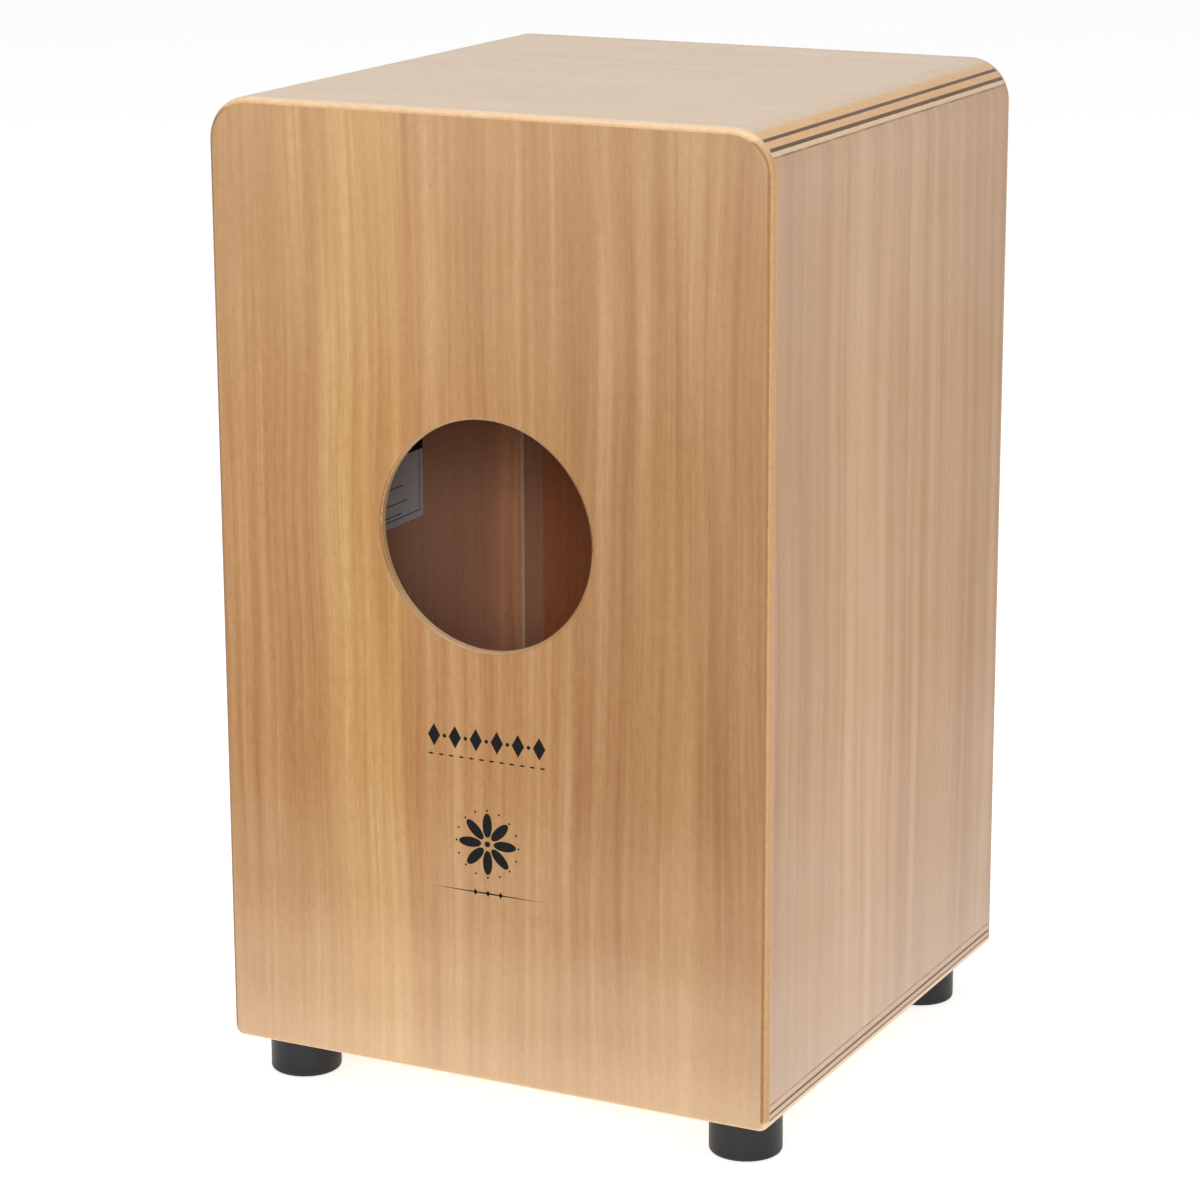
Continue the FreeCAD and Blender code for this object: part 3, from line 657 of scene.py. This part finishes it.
# Straight ridges pressed round a bolt's head.
knurling, given = start_tree("knurling", {"Count": INT, "Radius": FLOAT, "Height": FLOAT, "Ridge": FLOAT})
marks = put(knurling, "GeometryNodeMeshCircle",
            {"Vertices": given["Count"], "Radius": given["Radius"]}).outputs[0]
ridge = put(knurling, "GeometryNodeMeshCylinder",
            {"Vertices": 6, "Radius": given["Ridge"], "Depth": given["Height"]}).outputs[0]
ridges = put(knurling, "GeometryNodeInstanceOnPoints", {"Points": marks, "Instance": ridge}).outputs[0]
end_tree(knurling, given, ridges)

black_oxide = worked_metal("black_oxide_steel", shade(38, 38, 40), shade(84, 84, 88), (400, 400, 1800),
                           0.32, 0.5)
for side in ("left", "right"):
    low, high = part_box(side + "_tuning_bolt")
    axis = Vector(((low.x + high.x) / 2, (low.y + high.y) / 2, low.z))
    length = high.z - low.z
    body = turned(side + "_bolt_body", [
        (0, SOCKET_DEPTH), (SOCKET_FLAT, SOCKET_DEPTH, 6), (SOCKET_FLAT, 0.4 * MM, 6),
        (3.3 * MM, 0), (HEAD_RADIUS - 0.8 * MM, 0), (HEAD_RADIUS - 0.25 * MM, 0.6 * MM),
        (HEAD_RADIUS - 0.25 * MM, BOLT_HEAD), (CORE_RADIUS, BOLT_HEAD),
        (CORE_RADIUS, length - 0.8 * MM), (CORE_RADIUS - 0.8 * MM, length), (0, length)],
        axis, black_oxide)
    thread = grow(side + "_thread", winding, {
        "Radius": CORE_RADIUS, "Pitch": BOLT_PITCH, "Turns": (length - BOLT_HEAD) / BOLT_PITCH - 8,
        "Wire": CREST_RADIUS - CORE_RADIUS, "Corners": 4,
        "At": axis + Vector((0, 0, BOLT_HEAD + 6.5 * MM)), "Turn": (0, 0, 0), "Finish": black_oxide})
    knurls = grow(side + "_knurls", knurling, {
        "Count": KNURLS, "Radius": HEAD_RADIUS - 0.27 * MM, "Height": BOLT_HEAD - 1.6 * MM,
        "Ridge": 0.25 * MM, "At": axis + Vector((0, 0, BOLT_HEAD / 2 + 0.2 * MM)),
        "Turn": (0, 0, 0), "Finish": black_oxide})
    bolt = join(side + "_tuning_bolt_threaded", [body, thread, knurls])
    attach(bolt, side + "_bolt")
    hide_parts(side + "_tuning_bolt")


# ---- Hitch screws -------------------------------------------------------------------------------
# Zinc-plated round-head screws driven into the back of the top batten. Each holds the loop at one
# string's upper end.

zinc = worked_metal("zinc_plated_steel", shade(150, 152, 154), shade(206, 208, 212), (500, 500, 500),
                    0.25, 0.42)
finish(zinc, "string_hitch_screws")


# ---- Snare strings ------------------------------------------------------------------------------
# Four wound steel guitar strings. Each is held by its brass ball end under a carriage, lies against
# the back of the front plate, and goes under the top batten and round its hitch screw.

STRING_RADIUS = 0.45 * MM
BALL_RADIUS, BALL_HEIGHT = 1.9 * MM, 3.6 * MM
PAIR_HALF = 7 * MM
TOP_SPREAD = 78 * MM
WRAP_WIRE = 0.14 * MM
WRAP_PITCH = 0.5 * MM
HITCH_LOOP = 2.35 * MM

wound_steel, tree, surface, place = start_material("wound_string_steel")
axes = put(tree, "ShaderNodeSeparateXYZ", {0: place}).outputs
winds = maths(tree, "SINE", maths(tree, "MULTIPLY", axes["Z"], 2 * pi / (0.4 * MM)))
tarnish = ranged(tree, noise(tree, place, (120, 120, 40), detail=4.0), 0.4, 0.75)
tone = mixed(tree, tarnish, shade(205, 205, 206), shade(150, 142, 130))
# Painted shade: the colour is darkened between the windings, in the grooves.
paint(tree, surface, Base_Color=mixed(tree, ranged(tree, winds, -1.0, -0.4, 0.4, 0.0), tone,
                                      shade(70, 66, 62)),
      Metallic=1.0, Roughness=ranged(tree, tarnish, 0.0, 1.0, 0.25, 0.45),
      Normal=bumped(tree, winds, 0.05 * MM))


def eased(points, reach):
    """A path with each corner rounded, starting reach before it, and its long runs divided."""
    path = [points[0]]
    for before, corner, after in zip(points, points[1:], points[2:]):
        enter = corner + (before - corner).normalized() * reach
        leave = corner + (after - corner).normalized() * reach
        runs = max(1, int((enter - path[-1]).length / (10 * MM)))
        path += [path[-1].lerp(enter, step / runs) for step in range(1, runs + 1)]
        for step in (0.25, 0.5, 0.75, 1.0):
            path.append(enter.lerp(corner, step).lerp(corner.lerp(leave, step), step))
    return path + [points[-1]]


def drawn_wire(name, path, radius, material):
    """A round wire along a path."""
    curve = bpy.data.curves.new(name, "CURVE")
    curve.dimensions = "3D"
    curve.bevel_depth = radius
    curve.bevel_resolution = 2
    curve.use_fill_caps = True
    spline = curve.splines.new("POLY")
    spline.points.add(len(path) - 1)
    for point, at in zip(spline.points, path):
        point.co = (*at, 1)
    source = bpy.data.objects.new(name, curve)
    bpy.context.scene.collection.objects.link(source)
    depsgraph = bpy.context.evaluated_depsgraph_get()
    mesh = bpy.data.meshes.new_from_object(source.evaluated_get(depsgraph))
    bpy.data.objects.remove(source)
    mesh.materials.clear()
    mesh.materials.append(material)
    wire = bpy.data.objects.new(name, mesh)
    bpy.context.scene.collection.objects.link(wire)
    return wire


plate_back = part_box("front_plate")[1].y
batten_low, batten_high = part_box("top_batten")
front_y = plate_back + 0.1 * MM + STRING_RADIUS
rear_y = batten_high.y + 1.2 * MM
knee_z = batten_low.z - 0.35 * MM - STRING_RADIUS
hitch_z = inside_top - 6 * MM
ball_y = plate_back + 0.3 * MM + BALL_RADIUS
for side, sign in (("left", -1), ("right", 1)):
    carriage_low, carriage_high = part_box(side + "_string_carriage")
    middle = (carriage_low.x + carriage_high.x) / 2
    for which, offset in (("outer", sign * PAIR_HALF), ("inner", -sign * PAIR_HALF)):
        name = f"{side}_{which}_string"
        top_x = sign * TOP_SPREAD + offset
        ball = Vector((middle + offset, ball_y, carriage_low.z - 0.1 * MM - BALL_HEIGHT))
        tail = ball + Vector((0, 0, BALL_HEIGHT / 2))
        knee = Vector((top_x, front_y, knee_z))
        rear_knee = Vector((top_x, rear_y, knee_z))
        loop_side = Vector((top_x, rear_y, hitch_z))
        loop = [loop_side + Vector((HITCH_LOOP * (1 - cos(turn)), 0, HITCH_LOOP * sin(turn)))
                for turn in (2 * pi * step / 28 for step in range(29))]
        run = drawn_wire(name + "_run", eased([tail, knee, rear_knee, loop_side], 0.9 * MM) + loop[1:],
                         STRING_RADIUS, wound_steel)
        barrel = turned(name + "_ball", [
            (0, 0), (0.8 * MM, 0), (BALL_RADIUS - 0.3 * MM, 0), (BALL_RADIUS, 0.3 * MM),
            (BALL_RADIUS, 1.0 * MM), (1.35 * MM, 1.5 * MM), (1.35 * MM, 2.1 * MM),
            (BALL_RADIUS, 2.6 * MM), (BALL_RADIUS, 3.3 * MM), (BALL_RADIUS - 0.3 * MM, BALL_HEIGHT),
            (0, BALL_HEIGHT)], ball, brass, sides=32)
        lean = (knee - tail).to_track_quat("Z", "Y").to_euler()
        low_twist = grow(name + "_low_twist", winding, {
            "Radius": STRING_RADIUS, "Pitch": WRAP_PITCH, "Turns": 32.0, "Wire": WRAP_WIRE, "Corners": 6,
            "At": tail.lerp(knee, 0.004), "Turn": lean, "Finish": wound_steel})
        high_twist = grow(name + "_high_twist", winding, {
            "Radius": STRING_RADIUS, "Pitch": WRAP_PITCH, "Turns": 11.0, "Wire": WRAP_WIRE, "Corners": 6,
            "At": rear_knee + Vector((0, 0, 1.6 * MM)), "Turn": (0, 0, 0), "Finish": wound_steel})
        string = join(name + "_wound", [run, barrel, low_twist, high_twist])
        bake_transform(string)
        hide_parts(name)


# ---- Front plate --------------------------------------------------------------------------------
# The playing surface: a thin three-ply board with an even, lightly striped face, screwed over the
# front of the shell so that its upper corners slap against it.

plate_low, plate_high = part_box("front_plate")
FRONT_PLY = plate_high.y - plate_low.y
front_finish = veneered_board(
    "front_veneer", "Z", "X", "Y", -plate_low.y,
    (shade(170, 118, 78), shade(190, 140, 98), shade(203, 157, 114), shade(216, 176, 134)),
    [(0, ORANGE_PLY), (0.6 * MM, DARK_PLY), (0.9 * MM, LIGHT_PLY), (2.4 * MM, DARK_PLY),
     (2.8 * MM, ORANGE_PLY), (FRONT_PLY - 0.05 * MM, DARK_PLY), (FRONT_PLY, DARK_PLY)],
    (shade(168, 98, 62), shade(204, 134, 90)), stripe=14 * MM, seed=12.4)
finish(front_finish, "front_plate")


# ---- Screws -------------------------------------------------------------------------------------
# Blackened steel screws with countersunk cross heads. Twenty hold the front plate to the battens and
# the tuning block, and three go up through the bottom panel into the block.

black_screws = worked_metal("black_screw_steel", shade(22, 22, 24), shade(58, 58, 62), (900, 900, 900),
                            0.35, 0.55, metallic=0.8)
finish(black_screws, "front_plate_screws", "tuning_block_screws")


# ---- Feet ---------------------------------------------------------------------------------------
# Four moulded black rubber cylinders under the bottom panel. Each is held by a zinc-plated pan-head
# screw and a washer, sunk in the pocket in its base.

foot_rubber, tree, surface, place = start_material("foot_rubber")
axes = put(tree, "ShaderNodeSeparateXYZ", {0: place}).outputs
grit = noise(tree, place, (1400, 1400, 1400), detail=3.0)
smears = ranged(tree, noise(tree, place, (90, 90, 40), detail=3.0), 0.45, 0.8)
scuffed = ranged(tree, maths(tree, "MULTIPLY_ADD", grit, 1.6 * MM, axes["Z"]), 1.2 * MM, 3.4 * MM, 0.6, 0.0)
dusty = maths(tree, "MAXIMUM", scuffed, maths(tree, "MULTIPLY", smears, 0.25))
rubber = mixed(tree, dusty, shade(20, 20, 26), shade(58, 57, 62))
paint(tree, surface, Base_Color=rubber, Roughness=ranged(tree, dusty, 0.0, 0.6, 0.42, 0.75),
      Normal=bumped(tree, grit, 0.06 * MM), Specular_IOR_Level=0.45)
finish(foot_rubber, "front_left_foot", "front_right_foot", "rear_left_foot", "rear_right_foot")
finish(zinc, "foot_washers", "foot_screws")


# ---- Floor, lights and camera -------------------------------------------------------------------
# A plain pale floor under white air, lit softly by a wide panel overhead and a smaller one near the
# box. The camera stands behind the box and a little above it.

floor_mesh = bpy.data.meshes.new("studio_floor")
FLOOR_HALF = 6.0
floor_mesh.from_pydata([(-FLOOR_HALF, -FLOOR_HALF, 0), (FLOOR_HALF, -FLOOR_HALF, 0),
                        (FLOOR_HALF, FLOOR_HALF, 0), (-FLOOR_HALF, FLOOR_HALF, 0)], [], [(0, 1, 2, 3)])
studio_floor = bpy.data.objects.new("studio_floor", floor_mesh)
bpy.context.scene.collection.objects.link(studio_floor)
FLOOR_GLOW, FLOOR_SEEN = 0.4, 0.62
floor_paint, tree, surface, place = start_material("studio_floor_paint")
scuffs = noise(tree, place, (3, 3, 3))
paint(tree, surface, Base_Color=mixed(tree, scuffs, shade(250, 250, 250), shade(255, 255, 255)),
      Roughness=0.9, Specular_IOR_Level=0.0, Emission_Color=(1.0, 1.0, 1.0, 1.0),
      Emission_Strength=ranged(tree, put(tree, "ShaderNodeLightPath").outputs["Is Camera Ray"],
                               0.0, 1.0, FLOOR_GLOW, FLOOR_SEEN))
floor_mesh.materials.append(floor_paint)

world = bpy.data.worlds.new("studio_air")
world.use_nodes = True
air = world.node_tree
AIR_LIGHT, AIR_MIRRORED, AIR_SEEN = 0.34, 0.8, 1.0
ray = put(air, "ShaderNodeLightPath").outputs
unseen = ranged(air, ray["Is Diffuse Ray"], 0.0, 1.0, AIR_MIRRORED, AIR_LIGHT)
paint(air, air.nodes["Background"], Color=(1.0, 1.0, 1.0, 1.0),
      Strength=ranged(air, ray["Is Camera Ray"], 0.0, 1.0, unseen, AIR_SEEN))
bpy.context.scene.world = world


def light_panel(name, at, aim, width, power):
    lamp = bpy.data.lights.new(name, "AREA")
    lamp.size = width
    lamp.energy = power
    panel = bpy.data.objects.new(name, lamp)
    turn = (Vector(at) - Vector(aim)).to_track_quat("Z", "Y")
    panel.matrix_world = Matrix.Translation(at) @ turn.to_matrix().to_4x4()
    bpy.context.scene.collection.objects.link(panel)


light_panel("overhead_panel", (0.1, 0.5, 2.4), (0, 0.2, 0), 1.8, 27)
light_panel("near_panel", (-1.0, 2.1, 0.95), (0, 0, 0.3), 0.5, 18)

AZIMUTH, ELEVATION, ROLL = radians(206.697), radians(14.825), radians(-0.212)
LENS_IN_FRAME_WIDTHS = 3.1969
backward = Vector((sin(AZIMUTH) * cos(ELEVATION), -cos(AZIMUTH) * cos(ELEVATION), sin(ELEVATION)))
level = Vector((0, 0, 1)).cross(backward).normalized()
upward = backward.cross(level)
right = level * cos(ROLL) + upward * sin(ROLL)
top = upward * cos(ROLL) - level * sin(ROLL)
lens = bpy.data.cameras.new("studio_camera")
lens.sensor_width = 36
lens.lens = LENS_IN_FRAME_WIDTHS * lens.sensor_width
camera = bpy.data.objects.new("studio_camera", lens)
camera.matrix_world = (Matrix.Translation((-0.8517, 1.7200, 0.7446))
                       @ Matrix((right, top, backward)).transposed().to_4x4())
bpy.context.scene.collection.objects.link(camera)
bpy.context.scene.camera = camera
bpy.context.scene.view_settings.view_transform = "Standard"
